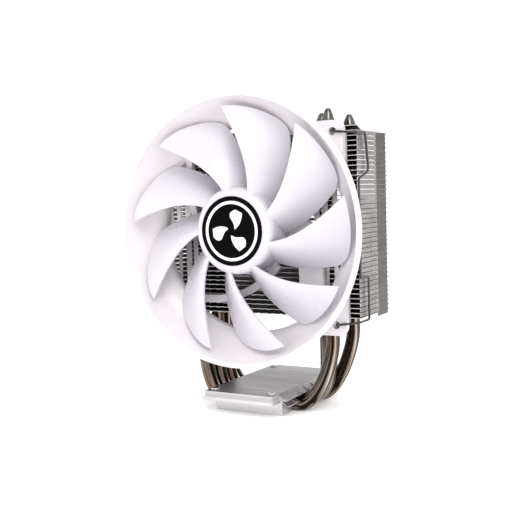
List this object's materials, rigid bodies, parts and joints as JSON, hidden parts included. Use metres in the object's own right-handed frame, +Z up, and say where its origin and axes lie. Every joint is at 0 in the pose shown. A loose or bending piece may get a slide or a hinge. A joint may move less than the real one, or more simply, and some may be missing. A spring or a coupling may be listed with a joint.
{
  "type": "cpu tower cooler",
  "caption": "Finned tower heatsink on bent heat pipes and a flat contact base, with a round funnel fan held on by two swinging wire clips.",
  "frame": {"origin": "centre of the flat base face that rests on the processor", "axes": "+Z up the tower away from the processor, +Y the way the fan blows through the fins, X along the pipe runs in the base"},
  "size_m": [0.1528, 0.0837, 0.1804],
  "materials": {
    "nickel_base": "nickel plated copper, machined and brushed",
    "plate_metal": "die cast, fine blasted",
    "screw_steel": "zinc plated",
    "nickel_pipe": "bright nickel plated copper tube",
    "fin_metal": "rolled sheet, satin",
    "frame_plastic": "white moulded, semi gloss",
    "blade_plastic": "white moulded, gloss",
    "label_black": "black gloss film",
    "yoke_steel": "drawn sheet steel",
    "magnet_ferrite": "plastic bonded ferrite strip",
    "shaft_steel": "ground and polished",
    "clip_nylon": "natural nylon",
    "bearing_bronze": "sintered, oil filled",
    "lamination_steel": "stacked laminations, varnished",
    "copper_wire": "enamelled winding wire",
    "board_fibreglass": "solder mask green",
    "label_film": "printed film, left blank",
    "spring_wire": "hard drawn spring wire, dark"
  },
  "bodies": {
    "tower": {"base_block": "nickel_base", "base_plate": "plate_metal", "base_screws": "screw_steel", "heat_pipe_1": "nickel_pipe", "heat_pipe_2": "nickel_pipe", "heat_pipe_3": "nickel_pipe", "heat_pipe_4": "nickel_pipe", "fin_bottom": "fin_metal", "fin_pack": "fin_metal", "fin_top": "fin_metal", "fan_frame": "frame_plastic", "bearing_sleeve": "bearing_bronze", "stator_core": "lamination_steel", "stator_coils": "copper_wire", "motor_board": "board_fibreglass", "motor_label": "label_film"},
    "rotor": {"impeller": "blade_plastic", "hub_label": "label_black", "rotor_yoke": "yoke_steel", "rotor_magnet": "magnet_ferrite", "rotor_shaft": "shaft_steel", "shaft_clip": "clip_nylon"},
    "clip_right": {"clip_right": "spring_wire"},
    "clip_left": {"clip_left": "spring_wire"}
  },
  "joints": [
    {"name": "fan_spin", "type": "hinge", "parent": "tower", "child": "rotor", "pos_m": [0, -0.018, 0.104], "axis": [0, 1, 0], "continuous": true},
    {"name": "clip_right_swing", "type": "hinge", "parent": "tower", "child": "clip_right", "pos_m": [0.0525, -0.0225, 0.104], "axis": [0, 0, 1], "range_deg": [-14, 0]},
    {"name": "clip_left_swing", "type": "hinge", "parent": "tower", "child": "clip_left", "pos_m": [-0.0525, -0.0225, 0.104], "axis": [0, 0, 1], "range_deg": [0, 14]}
  ]
}
